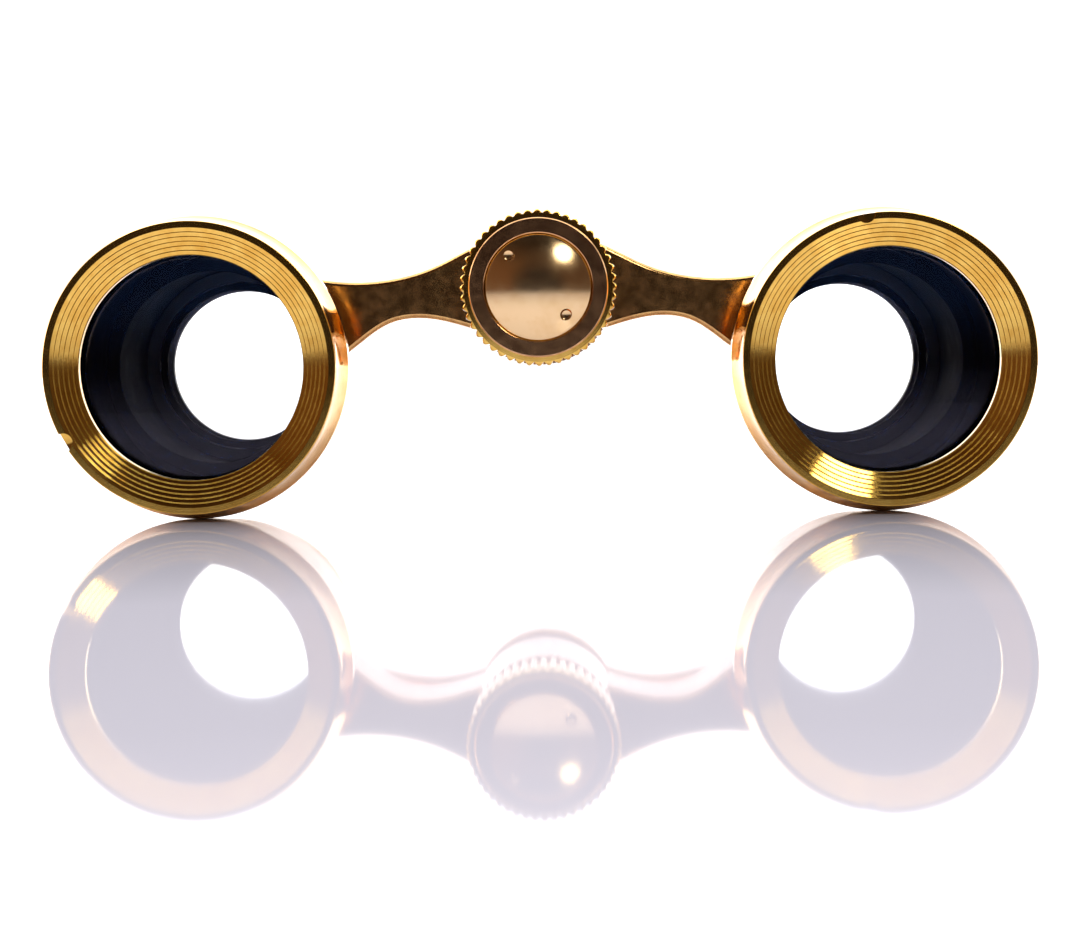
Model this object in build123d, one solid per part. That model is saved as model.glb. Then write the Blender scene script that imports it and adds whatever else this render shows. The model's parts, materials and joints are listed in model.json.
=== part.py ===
"""Opera glasses: two short Galilean telescopes joined by a bridge, focused by a knurled wheel.

The tubes lie level along Y, objectives towards -Y and eyepieces towards +Y.
Lengths along a tube are written as a depth behind the plane of the objective rims,
and move_to_row_frame() shifts the finished pieces so that the origin is at bottom centre.
Turned pieces are drawn as (radius, depth) outlines and revolved about their own axis.
"""

from build123d import *
import math
import os

# Driving dimensions, millimetres
TUBE_SPACING = 62.0          # between the two optical axes: the eye distance
BARREL_R = 13.7              # largest radius of the main barrels, on which the glasses rest
LENGTH = 43.0                # objective rims to eyecups, focused for distance
SPINDLE_RISE = 6.75          # focus spindle above the plane of the two tubes
FOCUS_TRAVEL = 6.0           # how far the eyepieces move back
SLIDE_GAP = 0.05             # radial running clearance of sliding and turning fits
SEAT_GAP = 0.05              # radial clearance of screwed and dropped-in pieces

TUBE_Z = BARREL_R
SPINDLE_Z = TUBE_Z + SPINDLE_RISE
SIDES = {"left": -1, "right": 1}

# Objective end
BEZEL_R = 13.0               # outside of the ribbed bezel
BEZEL_EDGE = 0.05            # rounding of its rim
BEZEL_RIM_R = 12.38          # where the flat rim meets the ribbed funnel
CLEAR_R = 10.0               # clear radius of the objective
BEZEL_FLANGE = 1.8           # depth of the visible flange
SPIGOT_R = 12.4              # threaded spigot of the bezel inside the barrel
SPIGOT_END = 7.0
RIBS = 6                     # steps of the funnel
RIB_SLOPE = 22.0             # degrees, slope of each step's face
RIB_FACE_SHARE = 0.82        # share of a step taken by its sloped face
RIB_RISER = 0.11             # extra depth of the riser between steps
NOTCH_R = 0.85               # spanner notch in the rim
NOTCH_DEPTH = 0.9
NOTCH_ANGLE = {"left": 210.0, "right": 99.0}
LENS_R = 11.0
LENS_SEAT = 3.2              # depth of the shoulder that the lens rests against
LIP_END = 2.2                # depth where the bezel's clear edge ends, with an undercut behind it
LIP_UNDERCUT_R = 10.4
LENS_FRONT_EDGE = 3.3
LENS_EDGE = 1.6
LENS_CURVE = 200.0           # radius of both faces
RETAINER_START = 5.05
RETAINER_END = 6.5
RETAINER_IN_R = 9.9

# Barrels and draw tubes
BARREL_START = 1.85
BARREL_END = 31.0
GUIDE_START = 26.5
GUIDE_SEAT_R = 10.0
DRAW_R = 9.0
DRAW_IN_R = 8.5
DRAW_START = 17.5
DRAW_END = 38.5

# Eyepieces
EYE_LENS_R = 7.25
EYE_CLEAR_R = 6.65
EYE_LENS_START = 35.5
EYE_LENS_EDGE = 2.6
EYE_LENS_CURVE = 40.0
EYECUP_R = 10.8
EYECUP_SPIGOT_START = 34.4

# Bridges
BRIDGE_START = 15.0
BRIDGE_END = 26.5
BRIDGE_ROUND = 0.4
BRIDGE_SEAT_R = 11.7         # cylinder of the barrel in the bridge's collar
COLLAR_R = 12.4
NECK_BORE_R = 10.9
SCREW_DEPTHS = (18.3, 22.8)
SCREW_LEAN = 22.0            # degrees above level, towards the hub
SCREW_SHANK_R = 0.8
SCREW_HEAD_TOP_R = 10.78
SCREW_TIP_R = 15.4
HUB_R = 6.9
HUB_START = 11.2
HUB_END = 27.5
HUB_WALL_END = 14.0
BUSH_R = 3.2
REAR_START = 34.5
REAR_END = 38.4
REAR_ROUND = 0.5
REAR_RING_R = 10.6
REAR_HUB_R = 6.9

# Focus wheel, screw and nut
WHEEL_R = 7.0
WHEEL_START = 1.0            # front of the wheel's plain lip
WHEEL_END = 10.6
LIP_R = 6.2
CAP_R = 4.75
CAP_RECESS_END = 2.6
CAP_CURVE = 10.5             # radius of the polished dome
CAP_RIM = 1.15               # depth of the dome's rim
SPANNER_HOLE_R = 0.5
SPANNER_HOLES = ((2.48, -2.5), (-2.6, 2.85))
RIDGES = 48
RIDGE_R = 0.33
SHAFT_R = 2.0
SCREW_R = 2.4
SCREW_FLANGE_R = 4.2
SLEEVE_R = 4.5
SLEEVE_START = 16.0
NUT_END = 28.2
SCREW_END = NUT_END + FOCUS_TRAVEL     # the nut meets the stop washer there
STOP_R = 3.0


def turned(*lines):
    """Revolves a closed outline of (radius, depth) points or edges about its axis, which is Y."""
    edges = []
    for line in lines:
        edges += Polyline(*line).edges() if isinstance(line, (list, tuple)) else line.edges()
    return revolve(make_face(edges), Axis.Y)


def ring(inner, outer, start, end):
    """A plain round ring, or a disc where inner is 0."""
    return turned([(inner, start), (outer, start), (outer, end), (inner, end), (inner, start)])


def rod(radius, start, end, x=0.0, z=0.0):
    """A cylinder along Y from depth start to depth end."""
    return Pos(x, (start + end) / 2, z) * Rot(90, 0, 0) * Cylinder(radius, end - start)


def around(count, piece):
    """count copies of piece, evenly spaced about Y."""
    return [Rot(0, 360.0 * i / count, 0) * piece for i in range(count)]


def sagitta(curve, radius):
    return curve - math.sqrt(curve**2 - radius**2)


def on_tube(piece, side):
    return Pos(SIDES[side] * TUBE_SPACING / 2, 0, TUBE_Z) * piece


def on_spindle(piece):
    return Pos(0, 0, SPINDLE_Z) * piece


def at_angle(radius, degrees):
    """(x, z) of a point at that angle, seen from the objective end."""
    return radius * math.cos(math.radians(degrees)), radius * math.sin(math.radians(degrees))


# ---- objective end ---------------------------------------------------------------

def funnel_points():
    """The stepped funnel of the bezel, from its rim inwards."""
    step = (BEZEL_RIM_R - CLEAR_R) / RIBS
    face = step * RIB_FACE_SHARE
    drop = face * math.tan(math.radians(RIB_SLOPE))
    points = []
    for i in range(RIBS):
        r, depth = BEZEL_RIM_R - i * step, i * (drop + RIB_RISER)
        points += [(r, depth), (r - face, depth + drop)]
    return points + [(CLEAR_R, RIBS * (drop + RIB_RISER))]


def objective_bezel(side):
    outside = [
        (BEZEL_R - BEZEL_EDGE, 0),
        (BEZEL_R, BEZEL_EDGE),
        (BEZEL_R, BEZEL_FLANGE),
        (SPIGOT_R, BEZEL_FLANGE),
        (SPIGOT_R, SPIGOT_END),
        (LENS_R + SEAT_GAP, SPIGOT_END),
        (LENS_R + SEAT_GAP, LENS_SEAT),
        (LIP_UNDERCUT_R, LENS_SEAT),
        (CLEAR_R, LIP_END),
    ]
    body = turned(outside + funnel_points()[::-1] + outside[:1])
    x, z = at_angle(BEZEL_R, NOTCH_ANGLE[side])
    return body - rod(NOTCH_R, -1, NOTCH_DEPTH, x, z)


def objective_lens():
    bulge = sagitta(LENS_CURVE, LENS_R)
    front, back = LENS_FRONT_EDGE, LENS_FRONT_EDGE + LENS_EDGE
    return turned(
        ThreePointArc(
            (0, front - bulge),
            (LENS_R / 2, front - bulge + sagitta(LENS_CURVE, LENS_R / 2)),
            (LENS_R, front),
        ),
        [(LENS_R, front), (LENS_R, back)],
        ThreePointArc(
            (LENS_R, back),
            (LENS_R / 2, back + bulge - sagitta(LENS_CURVE, LENS_R / 2)),
            (0, back + bulge),
        ),
        [(0, back + bulge), (0, front - bulge)],
    )


def objective_retainer():
    """The ring behind the lens, with two slots for a spanner."""
    slot = Box(2 * LENS_R + 2, 1.2, 1.0)
    return ring(RETAINER_IN_R, LENS_R, RETAINER_START, RETAINER_END) - Pos(0, RETAINER_END, 0) * slot


# ---- barrels ---------------------------------------------------------------------

def barrel_outline():
    """Outside of the barrel from front to back: swelling to its widest band, groove, taper, bridge seat, tail."""
    return [
        (12.95, BARREL_START),
        (13.35, 3.4),
        (BARREL_R, 5.4),
        (BARREL_R, 7.0),
        (BARREL_R - 0.35, 7.25),
        (BARREL_R - 0.35, 7.55),
        (BARREL_R - 0.15, 7.8),
        (12.4, 13.6),
        (12.1, 13.75),
        (12.1, 14.0),
        (12.45, 14.2),
        (12.45, BRIDGE_START - 0.1),
        (BRIDGE_SEAT_R, BRIDGE_START - 0.1),
        (BRIDGE_SEAT_R, BRIDGE_END + 0.1),
        (11.5, BRIDGE_END + 0.2),
        (10.8, 29.0),
        (11.3, 29.3),
        (11.3, 30.6),
        (11.0, BARREL_END),
    ]


def barrel(side):
    outline = barrel_outline()
    bore = [
        (GUIDE_SEAT_R + SEAT_GAP, BARREL_END),
        (GUIDE_SEAT_R + SEAT_GAP, GUIDE_START - 0.1),
        (NECK_BORE_R, GUIDE_START - 0.1),
        (NECK_BORE_R, BRIDGE_START - 0.5),
        (12.2, SPIGOT_END + 1.0),
        (SPIGOT_R + SEAT_GAP, SPIGOT_END + 0.3),
        (SPIGOT_R + SEAT_GAP, BARREL_START),
    ]
    body = on_tube(turned(outline + bore + outline[:1]), side)
    for depth in SCREW_DEPTHS:
        body -= leaning_rod(side, depth, 9.0, SCREW_TIP_R, SCREW_SHANK_R + SEAT_GAP)
    return body


def barrel_guide():
    """The collar pressed into the back of the barrel, in which the draw tube slides."""
    bore = DRAW_R + SLIDE_GAP
    return turned([
        (bore, GUIDE_START),
        (GUIDE_SEAT_R, GUIDE_START),
        (GUIDE_SEAT_R, BARREL_END + 0.05),
        (10.7, BARREL_END + 0.05),
        (10.7, BARREL_END + 0.6),
        (10.3, BARREL_END + 0.9),
        (bore, BARREL_END + 0.9),
        (bore, GUIDE_START),
    ])


# ---- front bridge ----------------------------------------------------------------

def arm_outline(top, bottom, tube_x):
    """The left arm's face in X and Z, between two curves that run from the hub to the tube."""
    upper, lower = Spline(*top), Spline(*bottom)
    edges = [
        upper,
        Line(top[-1], (tube_x, top[-1][1])),
        Line((tube_x, top[-1][1]), (tube_x, bottom[-1][1])),
        Line((tube_x, bottom[-1][1]), bottom[-1]),
        lower,
        Line(bottom[0], top[0]),
    ]
    return make_face([e for line in edges for e in line.edges()])


def plate(sketch, start, end):
    """A sketch drawn in X and height above the tubes' plane, as a plate from depth start to end."""
    standing = Pos(0, end, TUBE_Z) * Rot(90, 0, 0) * sketch
    return extrude(standing, end - start, dir=(0, -1, 0))


def rounded_front(solid, radius):
    """Rounds the outline of the solid's face that looks towards the objectives."""
    face = solid.faces().sort_by(Axis.Y)[0]
    return fillet(face.outer_wire().edges(), radius)


def front_bridge():
    top = [(-3.0, 12.0), (-6.6, 10.75), (-9.97, 9.1), (-13.6, 8.05), (-17.2, 7.75), (-20.8, 8.1)]
    bottom = [(-3.0, 2.4), (-7.0, 3.5), (-11.2, 4.35), (-14.0, 3.95), (-16.4, 2.5), (-18.6, 0.8)]
    sketch = arm_outline(top, bottom, -23.0)
    sketch += mirror(sketch, Plane.YZ)
    sketch += Pos(0, SPINDLE_RISE) * Circle(HUB_R)
    for sign in SIDES.values():
        sketch += Pos(sign * TUBE_SPACING / 2, 0) * Circle(COLLAR_R)
    for sign in SIDES.values():
        sketch -= Pos(sign * TUBE_SPACING / 2, 0) * Circle(BRIDGE_SEAT_R + 0.02)
    body = rounded_front(plate(sketch, BRIDGE_START, BRIDGE_END), BRIDGE_ROUND)
    body += rod(HUB_R, HUB_START, HUB_END, 0, SPINDLE_Z)
    body -= rod(BUSH_R, HUB_START - 1, HUB_WALL_END, 0, SPINDLE_Z)
    body -= rod(SLEEVE_R + SLIDE_GAP, HUB_WALL_END, HUB_END + 1, 0, SPINDLE_Z)
    for side in SIDES:
        for depth in SCREW_DEPTHS:
            body -= leaning_rod(side, depth, 9.0, SCREW_TIP_R, SCREW_SHANK_R)
    return body


def leaning_rod(side, depth, start, end, radius):
    """A rod from one radius to another about a tube's axis, leaning up towards the hub."""
    lying = Pos((start + end) / 2, depth, 0) * Rot(0, 90, 0) * Cylinder(radius, end - start)
    leaning = Rot(0, -SCREW_LEAN, 0) * lying
    if side == "right":
        leaning = mirror(leaning, Plane.YZ)
    return on_tube(leaning, side)


def bridge_screws():
    """Four screws with a round drive recess, put in from inside the barrels."""
    found = []
    for side in SIDES:
        for depth in SCREW_DEPTHS:
            screw = leaning_rod(side, depth, SCREW_HEAD_TOP_R - 0.6, SCREW_HEAD_TOP_R, 1.4)
            screw += leaning_rod(side, depth, SCREW_HEAD_TOP_R - 0.1, SCREW_TIP_R, SCREW_SHANK_R)
            screw -= leaning_rod(side, depth, SCREW_HEAD_TOP_R - 1, SCREW_HEAD_TOP_R - 0.25, 0.5)
            found += screw.solids()
    return Compound(found)


def hub_bush():
    return on_spindle(ring(SHAFT_R + SLIDE_GAP, BUSH_R, HUB_START, HUB_WALL_END))


# ---- eyepiece carriage -----------------------------------------------------------

def draw_tube():
    """Inner tube, blackened inside, with a stop bead in front and a shoulder for the rear bridge."""
    return turned([
        (DRAW_IN_R, DRAW_START),
        (9.6, DRAW_START),
        (9.6, DRAW_START + 1.0),
        (DRAW_R, DRAW_START + 1.3),
        (DRAW_R, REAR_START - 0.9),
        (9.5, REAR_START - 0.7),
        (9.5, REAR_START),
        (DRAW_R, REAR_START),
        (DRAW_R, DRAW_END),
        (DRAW_IN_R, DRAW_END),
        (DRAW_IN_R, DRAW_START),
    ])


def eyepiece_lens():
    dish = sagitta(EYE_LENS_CURVE, EYE_LENS_R)
    front, back = EYE_LENS_START, EYE_LENS_START + EYE_LENS_EDGE
    half = EYE_LENS_R / 2
    return turned(
        ThreePointArc(
            (0, front + dish), (half, front + dish - sagitta(EYE_LENS_CURVE, half)), (EYE_LENS_R, front)
        ),
        [(EYE_LENS_R, front), (EYE_LENS_R, back)],
        ThreePointArc(
            (EYE_LENS_R, back), (half, back - dish + sagitta(EYE_LENS_CURVE, half)), (0, back - dish)
        ),
        [(0, back - dish), (0, front + dish)],
    )


def eyepiece_retainer():
    slot = Box(2 * EYE_LENS_R + 2, 0.8, 0.8)
    start, end = EYECUP_SPIGOT_START + 0.1, EYE_LENS_START - 0.05
    return ring(EYE_CLEAR_R, EYE_LENS_R, start, end) - Pos(0, start, 0) * slot


def eyecup():
    """Screws into the draw tube, clamps the rear bridge and holds the eyepiece lens."""
    spigot_r = DRAW_IN_R - SEAT_GAP
    seat = EYE_LENS_START + EYE_LENS_EDGE + 0.05
    return turned(
        [
            (EYE_LENS_R + SEAT_GAP, EYECUP_SPIGOT_START),
            (spigot_r, EYECUP_SPIGOT_START),
            (spigot_r, DRAW_END),
            (10.2, DRAW_END),
            (10.4, DRAW_END + 0.3),
            (10.4, DRAW_END + 0.9),
            (10.0, DRAW_END + 1.2),
            (10.0, DRAW_END + 1.6),
            (EYECUP_R, DRAW_END + 2.1),
            (EYECUP_R, LENGTH - 0.6),
            (EYECUP_R - 0.5, LENGTH),
            (9.7, LENGTH),
        ],
        ThreePointArc((9.7, LENGTH), (8.8, LENGTH - 2.4), (EYE_CLEAR_R, seat + 0.3)),
        [
            (EYE_CLEAR_R, seat + 0.3),
            (EYE_CLEAR_R, seat),
            (EYE_LENS_R + SEAT_GAP, seat),
            (EYE_LENS_R + SEAT_GAP, EYECUP_SPIGOT_START),
        ],
    )


def rear_bridge():
    """Joins the two draw tubes and carries the nut sleeve."""
    top = [(-3.0, 12.0), (-6.8, 9.9), (-10.5, 7.9), (-14.5, 7.0), (-19.0, 7.2), (-24.0, 8.0)]
    bottom = [(-3.0, 2.6), (-7.0, 4.0), (-11.0, 4.7), (-15.0, 4.2), (-19.0, 2.9), (-22.0, 1.4)]
    sketch = arm_outline(top, bottom, -24.5)
    sketch += mirror(sketch, Plane.YZ)
    sketch += Pos(0, SPINDLE_RISE) * Circle(REAR_HUB_R)
    for sign in SIDES.values():
        sketch += Pos(sign * TUBE_SPACING / 2, 0) * Circle(REAR_RING_R)
    for sign in SIDES.values():
        sketch -= Pos(sign * TUBE_SPACING / 2, 0) * Circle(DRAW_R)
    body = rounded_front(plate(sketch, REAR_START, REAR_END), REAR_ROUND)
    return body - rod(SLEEVE_R + SEAT_GAP, REAR_START - 1, REAR_END + 1, 0, SPINDLE_Z)


def nut_sleeve():
    """The nut at its front end runs on the focus screw; the rest slides in the front hub."""
    return on_spindle(turned([
        (SCREW_R + SLIDE_GAP, SLEEVE_START),
        (SLEEVE_R, SLEEVE_START),
        (SLEEVE_R, REAR_END),
        (STOP_R + 0.1, REAR_END),
        (STOP_R + 0.1, NUT_END),
        (SCREW_R + SLIDE_GAP, NUT_END),
        (SCREW_R + SLIDE_GAP, SLEEVE_START),
    ]))


def rear_hub_cap():
    """Domed cap that closes the sleeve and clamps it to the rear bridge."""
    head_r, head_end = 5.6, REAR_END + 0.85
    top = head_end + sagitta(12.0, head_r)
    body = turned(
        [(0, REAR_END - 1.5), (STOP_R + 0.05, REAR_END - 1.5), (STOP_R + 0.05, REAR_END + 0.05),
         (head_r, REAR_END + 0.05), (head_r, head_end)],
        ThreePointArc((head_r, head_end), (head_r / 2, top - sagitta(12.0, head_r / 2)), (0, top)),
        [(0, top), (0, REAR_END - 1.5)],
    )
    slot = Pos(0, top, 0) * Box(8.0, 1.2, 0.7)
    return on_spindle(body - slot)


# ---- focus wheel -----------------------------------------------------------------

def focus_wheel():
    """Knurled drum with a plain front lip round the cap's recess."""
    core_r = WHEEL_R - RIDGE_R
    front, back = WHEEL_START + 0.65, WHEEL_END - 0.5
    ridges = around(RIDGES, rod(RIDGE_R, front, back, core_r, 0))
    drum = rod(core_r, front, back) + ridges
    limits = turned([
        (0, 0), (6.55, 0), (6.55, front + 0.05), (WHEEL_R + 0.01, front + 0.55), (WHEEL_R + 0.01, back - 0.5),
        (6.6, back), (6.6, WHEEL_END), (0, WHEEL_END), (0, 0),
    ])
    body = drum & limits
    body += turned([
        (0, WHEEL_START), (LIP_R - 0.12, WHEEL_START), (LIP_R, WHEEL_START + 0.12),
        (LIP_R, WHEEL_END), (0, WHEEL_END), (0, WHEEL_START),
    ])
    body -= ring(0, CAP_R + SEAT_GAP, WHEEL_START - 1, CAP_RECESS_END)
    return on_spindle(body - rod(SHAFT_R, 0, WHEEL_END + 1))


def focus_cap():
    """Polished domed nut that holds the wheel on the screw, with two spanner holes."""
    apex = CAP_RIM - sagitta(CAP_CURVE, CAP_R)
    body = turned(
        ThreePointArc((0, apex), (CAP_R / 2, apex + sagitta(CAP_CURVE, CAP_R / 2)), (CAP_R, CAP_RIM)),
        [(CAP_R, CAP_RIM), (CAP_R, CAP_RECESS_END - 0.05), (0, CAP_RECESS_END - 0.05), (0, apex)],
    )
    for x, z in SPANNER_HOLES:
        body -= rod(SPANNER_HOLE_R, -1, CAP_RIM + 0.35, x, z)
    return on_spindle(body - rod(1.5, CAP_RIM + 0.15, CAP_RECESS_END, 0, 0))


def focus_screw():
    """Shaft with a thrust flange and a steep multi-start thread, drawn at its crest radius."""
    return on_spindle(turned([
        (0, CAP_RIM + 0.2), (1.45, CAP_RIM + 0.2), (1.45, CAP_RECESS_END), (SHAFT_R, CAP_RECESS_END),
        (SHAFT_R, HUB_WALL_END + 0.05), (SCREW_FLANGE_R, HUB_WALL_END + 0.05),
        (SCREW_FLANGE_R, 15.3), (SCREW_R, 15.3), (SCREW_R, SCREW_END), (0, SCREW_END),
        (0, CAP_RIM + 0.2),
    ]) - rod(0.8, SCREW_END - 4, SCREW_END + 1))


def thrust_washer():
    return on_spindle(ring(SHAFT_R + SLIDE_GAP, 4.6, WHEEL_END + 0.02, HUB_START - 0.05))


def stop_washer():
    """Catches the end of the nut, so that the eyepieces can't be wound off the screw."""
    return on_spindle(ring(0.85, STOP_R, SCREW_END + 0.02, SCREW_END + 0.7))


def stop_screw():
    head_start = SCREW_END + 0.72
    slot = Pos(0, head_start + 1.1, 0) * Box(4.6, 0.9, 0.45)
    body = rod(0.8, SCREW_END - 3.5, head_start + 0.1) + rod(2.0, head_start, head_start + 1.1)
    return on_spindle(body - slot)


# ---- write -----------------------------------------------------------------------

def move_to_row_frame(piece):
    return Pos(0, -LENGTH / 2, 0) * piece


def build():
    pieces = {
        "front_bridge": front_bridge(),
        "bridge_screws": bridge_screws(),
        "hub_bush": hub_bush(),
        "focus_wheel": focus_wheel(),
        "focus_cap": focus_cap(),
        "focus_screw": focus_screw(),
        "thrust_washer": thrust_washer(),
        "stop_washer": stop_washer(),
        "stop_screw": stop_screw(),
        "nut_sleeve": nut_sleeve(),
        "rear_bridge": rear_bridge(),
        "rear_hub_cap": rear_hub_cap(),
    }
    for side in SIDES:
        pieces[f"objective_bezel_{side}"] = on_tube(objective_bezel(side), side)
        pieces[f"objective_lens_{side}"] = on_tube(objective_lens(), side)
        pieces[f"objective_retainer_{side}"] = on_tube(objective_retainer(), side)
        pieces[f"barrel_{side}"] = barrel(side)
        pieces[f"barrel_guide_{side}"] = on_tube(barrel_guide(), side)
        pieces[f"draw_tube_{side}"] = on_tube(draw_tube(), side)
        pieces[f"eyepiece_lens_{side}"] = on_tube(eyepiece_lens(), side)
        pieces[f"eyepiece_retainer_{side}"] = on_tube(eyepiece_retainer(), side)
        pieces[f"eyecup_{side}"] = on_tube(eyecup(), side)
    return pieces


os.makedirs("parts", exist_ok=True)
for name, piece in build().items():
    export_step(move_to_row_frame(piece), f"parts/{name}.step")
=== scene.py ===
"""Looks for the opera glasses: gilt turned brass, coated lenses, a white glossy table and soft studio light."""

import json
import math

import bmesh
import bpy
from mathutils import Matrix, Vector


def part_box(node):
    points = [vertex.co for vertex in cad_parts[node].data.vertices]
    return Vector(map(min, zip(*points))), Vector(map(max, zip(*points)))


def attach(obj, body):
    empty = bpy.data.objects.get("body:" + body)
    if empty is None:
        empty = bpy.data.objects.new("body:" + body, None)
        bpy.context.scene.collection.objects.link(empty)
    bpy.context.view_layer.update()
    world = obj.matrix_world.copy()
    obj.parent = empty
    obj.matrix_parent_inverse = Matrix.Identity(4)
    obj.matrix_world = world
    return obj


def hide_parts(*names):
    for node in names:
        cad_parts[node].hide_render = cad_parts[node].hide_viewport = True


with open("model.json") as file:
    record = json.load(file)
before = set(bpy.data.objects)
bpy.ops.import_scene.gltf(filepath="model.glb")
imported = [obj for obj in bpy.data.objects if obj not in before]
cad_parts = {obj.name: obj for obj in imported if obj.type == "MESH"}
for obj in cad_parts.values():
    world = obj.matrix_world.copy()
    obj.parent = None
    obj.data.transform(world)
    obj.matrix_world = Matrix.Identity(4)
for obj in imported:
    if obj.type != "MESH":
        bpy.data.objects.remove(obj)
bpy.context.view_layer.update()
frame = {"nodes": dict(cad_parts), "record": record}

MM = 0.001
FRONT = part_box("objective_bezel_left")[0][1]       # plane of the objective rims
SIDES = ("left", "right")


def centre(node):
    """(x, z) of a turned CAD node's axis, in metres."""
    low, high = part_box(node)
    return (low[0] + high[0]) / 2, (low[2] + high[2]) / 2


TUBES = {side: centre("eyecup_" + side) for side in SIDES}
SPINDLE = centre("nut_sleeve")


# ---- materials -------------------------------------------------------------------

class Shader:
    """A material's node tree, with short ways to add nodes and links."""

    def __init__(self, name):
        self.material = bpy.data.materials.new(name)
        self.material.use_nodes = True
        self.nodes = self.material.node_tree.nodes
        self.link = self.material.node_tree.links.new
        self.bsdf = self.nodes["Principled BSDF"]
        self.place = self.add("ShaderNodeTexCoord").outputs["Object"]

    def add(self, kind, inputs=None, **settings):
        node = self.nodes.new(kind)
        for key, value in settings.items():
            setattr(node, key, value)
        for key, value in (inputs or {}).items():
            if isinstance(value, bpy.types.NodeSocket):
                self.link(value, node.inputs[key])
            else:
                node.inputs[key].default_value = value
        return node

    def noise(self, scale, detail=4.0, stretch=(1, 1, 1), rough=0.55):
        spread = self.add("ShaderNodeMapping", {"Vector": self.place, "Scale": stretch})
        found = self.add(
            "ShaderNodeTexNoise",
            {"Vector": spread.outputs[0], "Scale": scale, "Detail": detail, "Roughness": rough},
        )
        return found.outputs["Fac"]

    def ramp(self, value, low, high, first, last):
        """value from low to high becomes first to last: two numbers, or two colours."""
        if isinstance(first, tuple):
            node = self.add("ShaderNodeValToRGB", {"Fac": value})
            node.color_ramp.elements[0].position = low
            node.color_ramp.elements[1].position = high
            node.color_ramp.elements[0].color = (*first, 1)
            node.color_ramp.elements[1].color = (*last, 1)
            return node.outputs["Color"]
        inputs = {"Value": value, "From Min": low, "From Max": high, "To Min": first, "To Max": last}
        return self.add("ShaderNodeMapRange", inputs).outputs["Result"]

    def rings(self, scale):
        """Fine lines round the piece's own turning axis, as a lathe tool leaves."""
        parts = self.add("ShaderNodeSeparateXYZ", {"Vector": self.place})
        flat = self.add("ShaderNodeCombineXYZ", {"X": parts.outputs["X"], "Z": parts.outputs["Z"]})
        radius = self.add("ShaderNodeVectorMath", {0: flat.outputs[0]}, operation="LENGTH")
        line = self.add("ShaderNodeCombineXYZ", {"X": radius.outputs["Value"], "Y": parts.outputs["Y"]})
        inputs = {"Vector": line.outputs[0], "Scale": scale, "Detail": 3.0}
        return self.add("ShaderNodeTexNoise", inputs).outputs["Fac"]

    def bump(self, height, distance, strength=1.0, under=None):
        inputs = {"Height": height, "Distance": distance, "Strength": strength}
        if under is not None:
            inputs["Normal"] = under
        return self.add("ShaderNodeBump", inputs).outputs["Normal"]

    def set(self, **values):
        for key, value in values.items():
            socket = self.bsdf.inputs[key.replace("_", " ")]
            if isinstance(value, bpy.types.NodeSocket):
                self.link(value, socket)
            else:
                socket.default_value = value


def metal(name, light, dark, rough=(0.06, 0.16), lines=0.0, scratches=0.3, pits=0.0):
    """Polished metal: patches of tarnish, uneven polish, hair scratches and optional turning lines."""
    shade = Shader(name)
    patches = shade.noise(160.0, 6.0)
    film = shade.noise(900.0, 5.0)
    blend = shade.add("ShaderNodeMath", {0: patches, 1: film}, operation="MULTIPLY")
    colour = shade.ramp(blend.outputs[0], 0.12, 0.34, dark, light)
    polish = shade.ramp(film, 0.3, 0.7, rough[1], rough[0])
    hair = shade.noise(2600.0, 2.0, (1, 0.06, 1), 0.8)
    normal = shade.bump(hair, 0.000004, scratches)
    if lines:
        normal = shade.bump(shade.rings(5200.0), 0.000006, lines, normal)
    if pits:
        specks = shade.ramp(shade.noise(1500.0, 3.0), 0.62, 0.72, 0.0, 1.0)
        normal = shade.bump(specks, 0.00002, -pits, normal)
    shade.set(Base_Color=colour, Metallic=1.0, Roughness=polish, Normal=normal)
    return shade.material


def lacquer(name, colour, worn, rough, shine):
    """Black lacquer with faint dust and rubbed patches."""
    shade = Shader(name)
    patches = shade.noise(420.0, 6.0)
    grain = shade.noise(5200.0, 2.0)
    shade.set(
        Base_Color=shade.ramp(patches, 0.42, 0.75, colour, worn),
        Roughness=shade.ramp(patches, 0.3, 0.7, rough[0], rough[1]),
        Normal=shade.bump(grain, 0.000004, 0.25),
    )
    shade.bsdf.inputs["Specular IOR Level"].default_value = shine
    return shade.material


def coated_glass(name, tint, reflection):
    """A lens face: clear glass with faint wiping marks and the reflected colour of its coating."""
    shade = Shader(name)
    smears = shade.noise(230.0, 4.0, (1, 1, 0.4))
    shade.set(
        Base_Color=shade.ramp(smears, 0.35, 0.75, tint, tuple(c * 0.97 for c in tint)),
        Roughness=shade.ramp(smears, 0.45, 0.8, 0.0, 0.02),
    )
    shade.bsdf.inputs["Transmission Weight"].default_value = 1.0
    shade.bsdf.inputs["IOR"].default_value = 1.5
    shade.bsdf.inputs["Specular Tint"].default_value = (*reflection, 1)
    return shade.material


GILT = metal("gilt_turned", (0.98, 0.63, 0.14), (0.82, 0.44, 0.07), (0.05, 0.12), lines=0.35)
GILT_PALE = metal("gilt_barrel", (0.93, 0.58, 0.21), (0.80, 0.45, 0.13), (0.05, 0.12), lines=0.3)
GILT_CAST = metal("gilt_cast", (0.92, 0.56, 0.20), (0.64, 0.33, 0.12), (0.08, 0.20), pits=0.4)
ROSE = metal("gilt_dome", (0.98, 0.70, 0.37), (0.90, 0.60, 0.28), (0.13, 0.20), scratches=0.2)
RING = metal("gilt_ring", (0.92, 0.55, 0.27), (0.62, 0.33, 0.15), (0.09, 0.19), lines=0.5, pits=0.3)
NICKEL = metal("nickel_plate", (0.76, 0.72, 0.64), (0.60, 0.55, 0.46), (0.08, 0.2), lines=0.3)
STEEL = metal("oiled_steel", (0.48, 0.48, 0.49), (0.30, 0.28, 0.26), (0.2, 0.38), lines=0.6)
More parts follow.
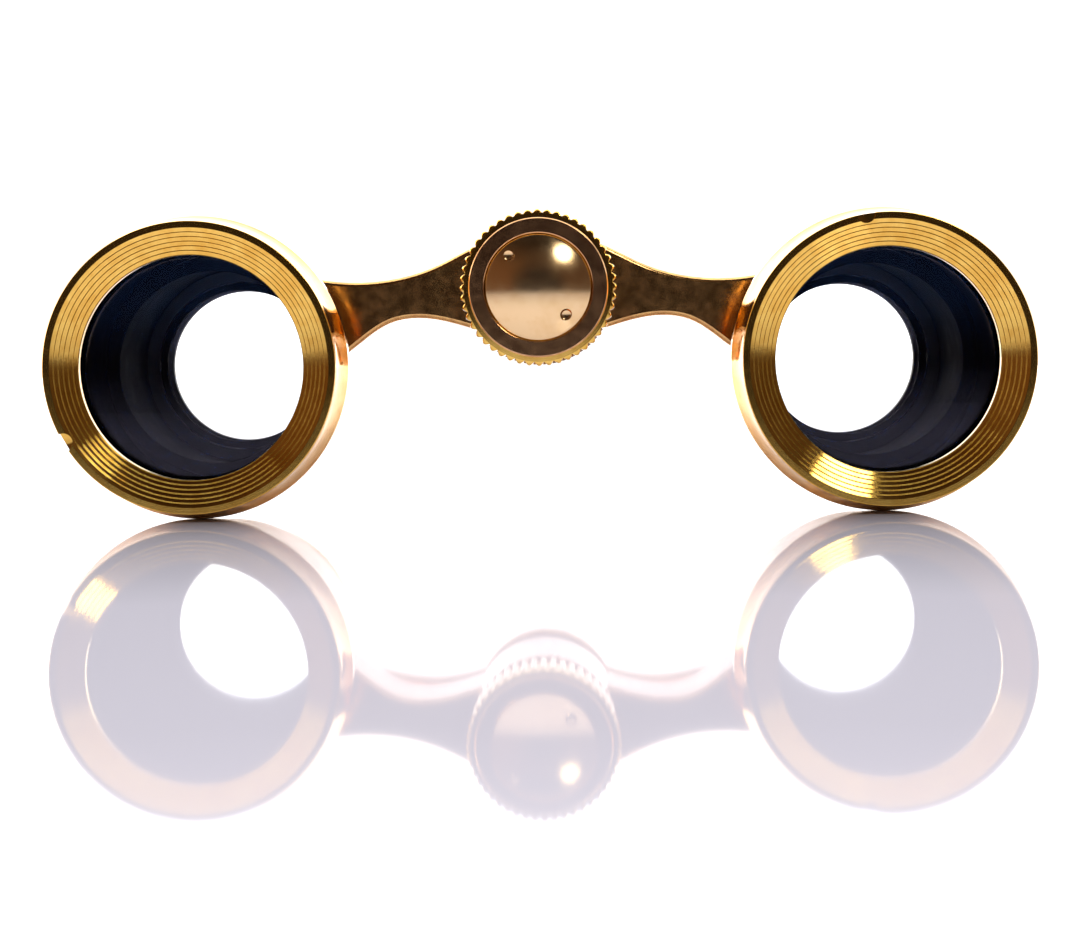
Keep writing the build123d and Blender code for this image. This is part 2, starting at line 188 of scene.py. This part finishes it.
BRONZE = metal("bearing_bronze", (0.62, 0.40, 0.18), (0.42, 0.24, 0.10), (0.2, 0.35), lines=0.6)
BLACK = lacquer("black_lacquer", (0.008, 0.008, 0.010), (0.024, 0.023, 0.026), (0.3, 0.5), 0.4)
VELVET = lacquer("black_inside", (0.0010, 0.0010, 0.0013), (0.004, 0.004, 0.005), (0.8, 1.0), 0.04)
GLASS = coated_glass("coated_lens", (0.98, 0.985, 1.0), (0.80, 0.78, 1.0))
GLASS_BACK = coated_glass("coated_lens_back", (0.98, 0.985, 1.0), (0.03, 0.16, 0.50))

SLOT_MATERIALS = {
    "gold": GILT_CAST,
    "polished_gold": ROSE,
    "glass": GLASS,
    "black": VELVET,
    "bronze": BRONZE,
    "nickel": NICKEL,
    "steel": STEEL,
}
SLOTS = {part["node"]: part["material_slot"] for part in frame["record"]["subparts"]}
for node, slot in SLOTS.items():
    for held in frame["nodes"][node].material_slots:
        held.material = SLOT_MATERIALS[slot]


# ---- turned pieces ---------------------------------------------------------------

CORNER_STEPS = 4
CORNER_SHARE = 0.42        # most of a run that a rounded corner and its holding point may take
HOLD = 1.15                # a holding point's distance from the corner, in corner radii


def towards(here, there, distance):
    run = math.dist(here[:2], there[:2])
    return tuple(here[k] + (there[k] - here[k]) / run * distance for k in (0, 1))


def softened(outline, radius, closed):
    """The outline with its corners rounded, as (radius, depth, ripple, segment it starts).

    A holding point on each side of a corner keeps the flats beside it flat under smooth shading.
    """
    points = []
    last = len(outline) - 1
    for i, here in enumerate(outline):
        before, after = outline[i - 1], outline[(i + 1) % len(outline)]
        ripple = here[2] if len(here) > 2 else 0.0
        ends = not closed and i in (0, last)
        shortest = min(math.dist(here[:2], p[:2]) for p in (before, after))
        if ends or radius == 0 or shortest == 0:
            points.append((here[0], here[1], ripple, i))
            continue
        reach_in, reach_out = [
            min(radius, CORNER_SHARE * math.dist(here[:2], p[:2]) / HOLD) for p in (before, after)
        ]
        first, second = towards(here, before, reach_in), towards(here, after, reach_out)
        points.append((*towards(here, before, reach_in * HOLD), ripple, (i - 1) % len(outline)))
        for step in range(CORNER_STEPS + 1):
            t = step / CORNER_STEPS
            spot = [(1 - t) ** 2 * first[k] + 2 * t * (1 - t) * here[k] + t * t * second[k] for k in (0, 1)]
            points.append((*spot, ripple, i if t >= 0.5 else (i - 1) % len(outline)))
        points.append((*towards(here, after, reach_out * HOLD), ripple, i))
    return points


def turned(name, outline, axis, body, materials, dark=(), radius=0.06, around=240, teeth=0, closed=True,
           sharp=38.0, replaces=()):
    """A piece turned on an axis along Y.

    outline is (radius, depth) in mm, with the depth of a ripple of teeth as a third number where there is one.
    dark lists the segments that take the second material.
    """
    points = softened(outline, radius, closed)
    mesh = bmesh.new()
    rings = []
    for r, depth, ripple, _ in points:
        y = depth * MM
        if r < 1e-6:
            rings.append([mesh.verts.new((0, y, 0))])
            continue
        ring = []
        for k in range(around):
            turn = math.tau * k / around
            wave = ripple * (1 - abs(math.cos(teeth * turn / 2))) if ripple else 0.0
            reach = (r - wave) * MM
            ring.append(mesh.verts.new((reach * math.cos(turn), y, reach * math.sin(turn))))
        rings.append(ring)
    pairs = len(points) if closed else len(points) - 1
    for i in range(pairs):
        first, second = rings[i], rings[(i + 1) % len(points)]
        for k in range(around):
            j = (k + 1) % around
            corners = [first[k % len(first)], first[j % len(first)]]
            corners += [second[j % len(second)], second[k % len(second)]]
            corners = list(dict.fromkeys(corners))
            if len(corners) < 3:
                continue
            face = mesh.faces.new(corners)
            face.smooth = True
            face.material_index = 1 if points[i][3] in dark else 0
    bmesh.ops.recalc_face_normals(mesh, faces=mesh.faces)
    return placed(name, mesh, (axis[0], FRONT, axis[1]), body, materials, sharp, replaces)


def placed(name, mesh, spot, body, materials, sharp, replaces=()):
    """The mesh as a piece that rides on a body and stands for CAD nodes. Edges over sharp degrees look hard."""
    data = bpy.data.meshes.new(name)
    mesh.to_mesh(data)
    mesh.free()
    data.set_sharp_from_angle(angle=math.radians(sharp))
    for material in materials:
        data.materials.append(material)
    piece = bpy.data.objects.new(name, data)
    piece.location = spot
    bpy.context.scene.collection.objects.link(piece)
    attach(piece, body)
    if replaces:
        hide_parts(*replaces)
    return piece


def drilled(piece, axis, holes, wall, sharp):
    """Holes cut into the front of a piece, at (x, z) in mm from an axis. wall is the drill's outline."""
    for x, z in holes:
        drill = [(0, wall[0][1]), *wall, (0, wall[-1][1] + 0.15)]
        spot = (axis[0] + x * MM, axis[1] + z * MM)
        tool = turned("drill", drill, spot, "frame", [GILT], radius=0, around=32, closed=False)
        cut = piece.modifiers.new("cut", "BOOLEAN")
        cut.object = tool
        cut.solver = "EXACT"
        bpy.context.view_layer.update()
        with bpy.context.temp_override(object=piece, active_object=piece):
            bpy.ops.object.modifier_apply(modifier=cut.name)
        bpy.data.objects.remove(tool)
    piece.data.set_sharp_from_angle(angle=math.radians(sharp))


def curve(start, end, bulge, count):
    """Points of a shallow arc from start to end, pushed sideways by bulge in the middle."""
    dr, dd = end[0] - start[0], end[1] - start[1]
    run = math.hypot(dr, dd)
    found = []
    for i in range(1, count):
        t = i / count
        push = 4 * bulge * t * (1 - t)
        found.append((start[0] + dr * t - dd / run * push, start[1] + dd * t + dr / run * push))
    return [start] + found + [end]


def funnel():
    """The ribbed funnel inside the objective rim, from its clear edge out to the rim."""
    steps, outer, inner, slope, riser = 6, 12.38, 10.0, math.tan(math.radians(22.0)), 0.11
    width = (outer - inner) / steps
    face = width * 0.82
    drop = face * slope
    points = []
    for i in range(steps):
        r, depth = outer - i * width, i * (drop + riser)
        points += [(r, depth), (r - face, depth + drop)]
    points.append((inner, steps * (drop + riser)))
    return points[::-1]


NOTCHES = {"left": 210.0, "right": 99.0}                # degrees round the rim, from +X
RIM_R = 13.0
NOTCH = [(0.85, -1.0), (0.85, 0.9)]

for side in SIDES:
    bezel = [
        (12.95, 0.0), (RIM_R, 0.05), (RIM_R, 1.8), (12.4, 1.8), (12.4, 7.0), (11.05, 7.0), (11.05, 3.2),
        (10.4, 3.2), (10.0, 2.2),
    ]
    rim = turned("bezel_" + side, bezel + funnel(), TUBES[side], "frame", [GILT, VELVET], dark=(4, 5, 6, 7),
                 radius=0.03, around=360, sharp=28, replaces=["objective_bezel_" + side])
    angle = math.radians(NOTCHES[side])
    drilled(rim, TUBES[side], [(RIM_R * math.cos(angle), RIM_R * math.sin(angle))], NOTCH, 28)

    shell = [
        *curve((12.95, 1.85), (13.7, 5.4), 0.12, 6), (13.7, 7.0), (13.35, 7.25), (13.35, 7.55), (13.55, 7.8),
        *curve((13.45, 8.1), (12.4, 13.4), 0.08, 8),
        (12.1, 13.75), (12.1, 14.0), (12.45, 14.2), (12.45, 14.9), (11.7, 14.9), (11.7, 26.6),
        *curve((11.5, 26.7), (10.8, 29.0), 0.1, 4),
        (11.3, 29.3), (11.3, 30.6), (11.0, 31.0),
    ]
    bore = [(10.05, 31.0), (10.05, 26.4), (10.9, 26.4), (10.9, 14.5), (12.2, 8.0), (12.45, 7.3), (12.45, 1.85)]
    inside = range(len(shell), len(shell) + len(bore) - 1)
    turned("barrel_shell_" + side, shell + bore, TUBES[side], "frame", [GILT_PALE, VELVET], dark=inside,
           radius=0.12, replaces=["barrel_" + side])

    tube = [
        (8.5, 17.5), (9.6, 17.5), (9.6, 18.5), (9.0, 18.8), (9.0, 33.6), (9.5, 33.8), (9.5, 34.5), (9.0, 34.5),
        (9.0, 38.5), (8.5, 38.5),
    ]
    turned("draw_tube_shell_" + side, tube, TUBES[side], "eyepiece_carriage", [GILT, VELVET], dark=(0, 1, 2, 9),
           radius=0.08, replaces=["draw_tube_" + side])

    cup = [
        (7.3, 34.4), (8.45, 34.4), (8.45, 38.5), (10.2, 38.5), (10.4, 38.8), (10.4, 39.4), (10.0, 39.7),
        (10.0, 40.1), (10.8, 40.6), (10.8, 42.4), (10.3, 43.0), (9.7, 43.0),
        *curve((9.55, 42.85), (6.65, 38.5), -0.5, 10), (6.65, 38.15), (7.3, 38.15),
    ]
    hollow = [0, *range(10, len(cup))]
    turned("eyecup_turned_" + side, cup, TUBES[side], "eyepiece_carriage", [GILT, BLACK], dark=hollow,
           radius=0.1, replaces=["eyecup_" + side])


def lens(name, axis, body, radius, start, thick, bend, replaces):
    """A lens with two spherical faces: bend is their radius, negative where they are hollow."""
    count = 24
    sag = [abs(bend) - math.sqrt(bend**2 - (radius * i / count) ** 2) for i in range(count + 1)]
    way = 1 if bend > 0 else -1
    front = [(radius * i / count, start - way * (sag[-1] - sag[i])) for i in range(count + 1)]
    back = [(r, 2 * start + thick - d) for r, d in reversed(front)]
    turned(name, front + back, axis, body, [GLASS, GLASS_BACK], dark=range(count + 1, 2 * count + 2), radius=0,
           around=160, closed=False, replaces=replaces)


for side in SIDES:
    lens("front_lens_" + side, TUBES[side], "frame", 11.0, 3.3, 1.6, 200.0, ["objective_lens_" + side])
    lens("rear_lens_" + side, TUBES[side], "eyepiece_carriage", 7.25, 35.5, 2.6, -40.0, ["eyepiece_lens_" + side])


# ---- focus wheel -----------------------------------------------------------------

wheel = [
    (4.88, 1.0), (6.1, 1.0), (6.2, 1.1), (6.2, 1.6), (6.6, 1.62, 0.0), (6.84, 1.66, 0.24), (6.96, 1.8, 0.36),
    (7.0, 2.1, 0.40), (7.0, 9.3, 0.38), (6.9, 9.8, 0.3), (6.6, 10.1, 0.05), (6.5, 10.6), (2.0, 10.6), (2.0, 2.6),
    (4.8, 2.6), (4.8, 1.08),
]
turned("knurled_wheel", wheel, SPINDLE, "focus_wheel", [GILT, RING], dark=(0, 1, 2, 15), radius=0.03, around=768,
       teeth=48, sharp=50, replaces=["focus_wheel"])

dome_bend, dome_r, dome_rim = 10.5, 4.75, 1.15
apex = dome_rim - (dome_bend - math.sqrt(dome_bend**2 - dome_r**2))
crown = []
for i in range(40):
    r = dome_r * i / 40
    crown.append((r, apex + dome_bend - math.sqrt(dome_bend**2 - r**2)))
dome = turned("polished_dome", crown + [(4.71, 1.15), (4.75, 1.2), (4.75, 2.5), (0, 2.5)], SPINDLE, "focus_wheel",
              [ROSE], radius=0, around=256, closed=False, sharp=50, replaces=["focus_cap"])
drilled(dome, SPINDLE, [(2.48, -2.5), (-2.6, 2.85)],
        [(0.56, -1.0), (0.56, apex + 0.62), (0.42, apex + 0.8), (0.42, 1.35)], 30)


# ---- table, light and camera -----------------------------------------------------

def table():
    """A white glossy table top, which mirrors more the flatter it is looked at."""
    mesh = bmesh.new()
    corners = [mesh.verts.new(spot) for spot in ((-1.6, -0.6, 0), (1.6, -0.6, 0), (1.6, 1.8, 0), (-1.6, 1.8, 0))]
    mesh.faces.new(corners)
    data = bpy.data.meshes.new("table_top")
    mesh.to_mesh(data)
    mesh.free()
    top = bpy.data.objects.new("table_top", data)
    bpy.context.scene.collection.objects.link(top)
    material = bpy.data.materials.new("white_acrylic")
    material.use_nodes = True
    nodes, link = material.node_tree.nodes, material.node_tree.links.new
    nodes.clear()
    diffuse = nodes.new("ShaderNodeBsdfDiffuse")
    diffuse.inputs["Color"].default_value = (0.77, 0.765, 0.89, 1)
    gloss = nodes.new("ShaderNodeBsdfGlossy")
    gloss.inputs["Roughness"].default_value = 0.03
    share = nodes.new("ShaderNodeFresnel")
    share.inputs["IOR"].default_value = 1.33
    mirrored = nodes.new("ShaderNodeFloatCurve")
    points = mirrored.mapping.curves[0].points
    points[1].location = (1.0, 0.95)
    for spot in ((0.36, 0.36), (0.42, 0.41), (0.56, 0.45), (0.68, 0.74), (0.80, 0.93)):
        points.new(*spot)
    for point in points:
        point.handle_type = "VECTOR"
    mirrored.mapping.update()
    link(share.outputs[0], mirrored.inputs["Value"])
    mix = nodes.new("ShaderNodeMixShader")
    link(mirrored.outputs[0], mix.inputs[0])
    link(diffuse.outputs[0], mix.inputs[1])
    link(gloss.outputs[0], mix.inputs[2])
    link(mix.outputs[0], nodes.new("ShaderNodeOutputMaterial").inputs["Surface"])
    data.materials.append(material)


def studio():
    """A bright backdrop behind the object and a dim warm room in front of it. Past the table all looks pale."""
    world = bpy.data.worlds.new("studio")
    bpy.context.scene.world = world
    world.use_nodes = True
    nodes, link = world.node_tree.nodes, world.node_tree.links.new
    nodes.clear()
    spot = nodes.new("ShaderNodeTexCoord")
    split = nodes.new("ShaderNodeSeparateXYZ")
    link(spot.outputs["Generated"], split.inputs[0])

    def sky(axis, steps):
        """A colour by how far a direction points along +axis, from -1 at the first end of the ramp to 1."""
        half = nodes.new("ShaderNodeMapRange")
        half.inputs["From Min"].default_value = -1.0
        link(split.outputs[axis], half.inputs["Value"])
        ramp = nodes.new("ShaderNodeValToRGB")
        link(half.outputs[0], ramp.inputs["Fac"])
        for i, (position, colour) in enumerate(steps):
            stop = ramp.color_ramp.elements[i] if i < 2 else ramp.color_ramp.elements.new(position)
            stop.position, stop.color = position, (*colour, 1)
        return ramp.outputs["Color"]

    depth = sky("Y", [(0.02, (0.028, 0.021, 0.020)), (0.60, (2.7, 2.7, 2.75)), (0.07, (0.085, 0.050, 0.032)),
                      (0.20, (0.080, 0.047, 0.030)), (0.36, (0.15, 0.105, 0.08)), (0.50, (1.1, 1.1, 1.12))])
    rise = sky("Z", [(0.70, (1.0, 1.0, 1.0)), (0.86, (0.25, 0.25, 0.25))])
    side = sky("X", [(0.20, (1.6, 1.4, 1.2)), (0.42, (1.0, 1.0, 1.0))])
    room = depth
    for share in (rise, side):
        product = nodes.new("ShaderNodeMix")
        product.data_type = "RGBA"
        product.blend_type = "MULTIPLY"
        product.inputs["Factor"].default_value = 1.0
        link(room, product.inputs["A"])
        link(share, product.inputs["B"])
        room = product.outputs["Result"]
    pale = nodes.new("ShaderNodeRGB")
    pale.outputs[0].default_value = (1.1, 1.1, 1.1, 1)
    ray = nodes.new("ShaderNodeLightPath")
    mix = nodes.new("ShaderNodeMix")
    mix.data_type = "RGBA"
    link(ray.outputs["Is Camera Ray"], mix.inputs["Factor"])
    link(room, mix.inputs["A"])
    link(pale.outputs[0], mix.inputs["B"])
    back = nodes.new("ShaderNodeBackground")
    link(mix.outputs["Result"], back.inputs["Color"])
    link(back.outputs[0], nodes.new("ShaderNodeOutputWorld").inputs["Surface"])


def softbox(name, spot, aim, size, power, colour=(1, 1, 1), shape="RECTANGLE"):
    light = bpy.data.lights.new(name, "AREA")
    light.shape = shape
    light.size, light.size_y = size
    light.energy = power
    light.color = colour
    lamp = bpy.data.objects.new(name, light)
    lamp.location = spot
    lamp.rotation_euler = (Vector(aim) - Vector(spot)).to_track_quat("-Z", "Y").to_euler()
    bpy.context.scene.collection.objects.link(lamp)


table()
studio()
softbox("overhead", (0.0, 0.08, 0.55), (0, 0.08, 0), (1.25, 0.6), 3.5)
softbox("front_right", (0.28, -0.53, 0.42), (0, 0, 0.014), (0.2, 0.2), 0.65, (1, 0.98, 0.95), "DISK")

CAMERA_AWAY = 230 * MM                                 # in front of the objective rims
CAMERA_ASIDE = 2.4 * MM                                # to the right of the spindle
CAMERA_LIFT = 0.93 * MM                                # above the tubes' axes
CAMERA_LENS = 86.7694                                  # mm, on a sensor 36 mm wide
CAMERA_PITCH, CAMERA_ROLL, CAMERA_YAW = -2.5076, 0.73, 0.5723      # degrees from straight ahead

camera = bpy.data.objects.new("camera", bpy.data.cameras.new("camera"))
camera.data.sensor_width = 36.0
camera.data.lens = CAMERA_LENS
camera.data.clip_start = 0.01
camera.location = (CAMERA_ASIDE, FRONT - CAMERA_AWAY, TUBES["left"][1] + CAMERA_LIFT)
camera.rotation_euler = [math.radians(a) for a in (90 + CAMERA_PITCH, CAMERA_ROLL, CAMERA_YAW)]
bpy.context.scene.collection.objects.link(camera)
bpy.context.scene.camera = camera
bpy.context.scene.view_settings.view_transform = "Standard"
